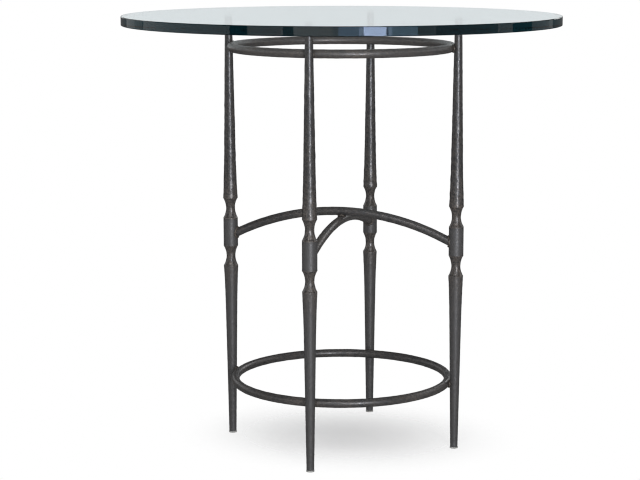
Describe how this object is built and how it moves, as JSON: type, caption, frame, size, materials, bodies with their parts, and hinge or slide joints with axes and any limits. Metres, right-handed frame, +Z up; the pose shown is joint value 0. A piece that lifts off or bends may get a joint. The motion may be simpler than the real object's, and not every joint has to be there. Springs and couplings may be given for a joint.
{
  "type": "counter height table",
  "caption": "Counter height table with a thick round glass top resting on a welded base of tapered forged legs, tied by an upper ring, a foot ring and crossed arches.",
  "frame": {"origin": "on the floor, under the centre of the glass top", "axes": "+Z up; X runs through the left and right legs along the main arch, and -Y is the front"},
  "size_m": [0.9143, 0.9144, 0.9144],
  "materials": {
    "forged_iron": "dark gunmetal patina on hammered forged iron, satin",
    "weld_metal": "the same dark patina, rubbed to a slightly brown bead",
    "clear_glass": "clear float glass with a flat polished edge and a blue-green body tint",
    "clear_vinyl": "clear soft vinyl",
    "nylon": "moulded grey nylon",
    "zinc_steel": "bright zinc plate"
  },
  "bodies": {
    "base_frame": {"upper_ring": "forged_iron", "lower_ring": "forged_iron", "main_arch": "forged_iron", "cross_arch": "forged_iron", "upper_ring_welds": "weld_metal", "lower_ring_welds": "weld_metal", "main_arch_welds": "weld_metal", "cross_arch_welds": "weld_metal", "crossing_weld": "weld_metal", "left_leg": "forged_iron", "left_bumper": "clear_vinyl", "right_leg": "forged_iron", "right_bumper": "clear_vinyl", "front_leg": "forged_iron", "front_bumper": "clear_vinyl", "back_leg": "forged_iron", "back_bumper": "clear_vinyl"},
    "top": {"glass_top": "clear_glass"},
    "left_glide": {"left_glide_base": "nylon", "left_glide_stud": "zinc_steel"},
    "right_glide": {"right_glide_base": "nylon", "right_glide_stud": "zinc_steel"},
    "front_glide": {"front_glide_base": "nylon", "front_glide_stud": "zinc_steel"},
    "back_glide": {"back_glide_base": "nylon", "back_glide_stud": "zinc_steel"}
  },
  "joints": [
    {"name": "top_lift", "type": "slide", "parent": "base_frame", "child": "top", "axis": [0, 0, 1], "range_m": [0, 0.15]},
    {"name": "left_glide_level", "type": "slide", "parent": "base_frame", "child": "left_glide", "axis": [0, 0, -1], "range_m": [0, 0.01]},
    {"name": "right_glide_level", "type": "slide", "parent": "base_frame", "child": "right_glide", "axis": [0, 0, -1], "range_m": [0, 0.01]},
    {"name": "front_glide_level", "type": "slide", "parent": "base_frame", "child": "front_glide", "axis": [0, 0, -1], "range_m": [0, 0.01]},
    {"name": "back_glide_level", "type": "slide", "parent": "base_frame", "child": "back_glide", "axis": [0, 0, -1], "range_m": [0, 0.01]}
  ]
}
